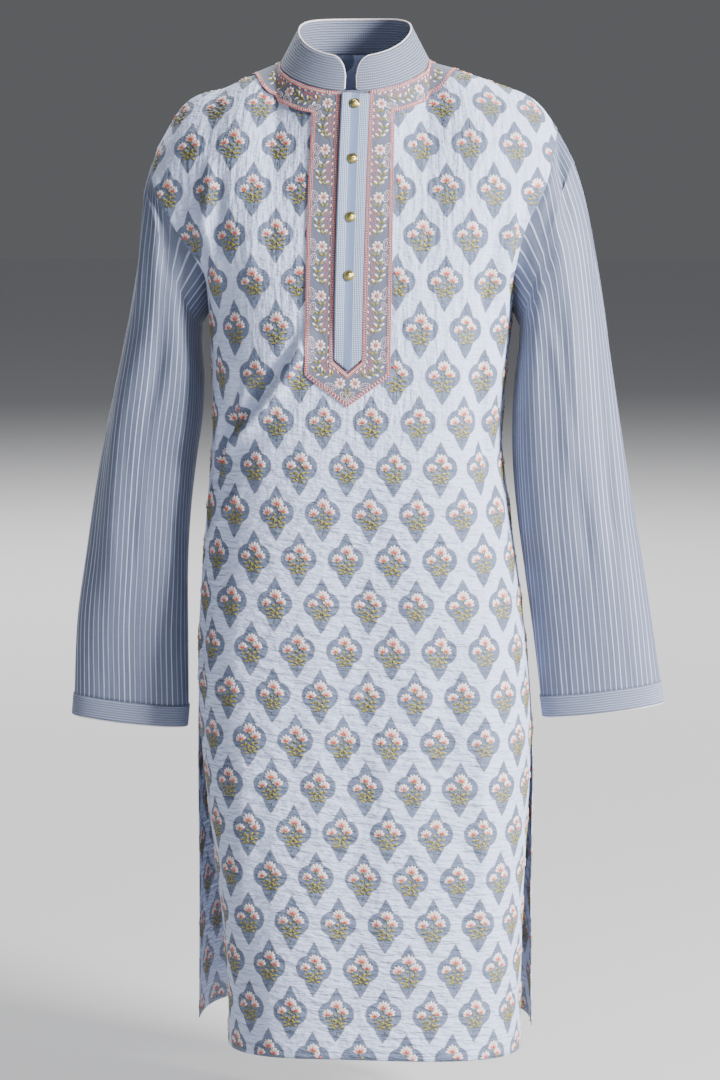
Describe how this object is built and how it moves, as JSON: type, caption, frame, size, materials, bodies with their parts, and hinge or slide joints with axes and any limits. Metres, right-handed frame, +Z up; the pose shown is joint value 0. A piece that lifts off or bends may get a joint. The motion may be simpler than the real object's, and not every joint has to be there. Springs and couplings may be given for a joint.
{
  "type": "kurta tunic",
  "caption": "Knee-length kurta with band collar, half placket, embroidered neck panel, printed body and long striped sleeves, hollow as worn.",
  "frame": {"origin": "middle of the neck opening, 14 mm below the high shoulder points, where the wearer's neck and shoulders carry the garment", "axes": "+Z up along the garment's length, front faces -Y, wearer's left is +X"},
  "size_m": [0.6455, 0.259, 1.1102],
  "materials": {
    "printed_cloth": "crinkled white slub cotton printed with blue-grey ogee motifs, each with an embroidered sprig",
    "striped_cloth": "blue-grey cotton silk with fine white lengthwise lines",
    "band_cloth": "blue-grey cloth with close rows of stitching",
    "placket_cloth": "blue-grey cloth with dotted white lines",
    "embroidered_cloth": "blue-grey cloth with white, pink and olive thread embroidery",
    "white_piping": "white bias piping",
    "brass": "domed, softly polished"
  },
  "bodies": {
    "root": {"front": "printed_cloth", "back": "printed_cloth", "sleeve_left": "striped_cloth", "sleeve_right": "striped_cloth", "cuff_left": "band_cloth", "cuff_right": "band_cloth", "cuff_piping_left": "white_piping", "cuff_piping_right": "white_piping", "collar": "band_cloth", "collar_piping": "white_piping", "placket": "placket_cloth", "neck_panel_front": "embroidered_cloth", "neck_panel_back": "embroidered_cloth", "button_1": "brass", "button_2": "brass", "button_3": "brass", "button_4": "brass"}
  },
  "joints": []
}
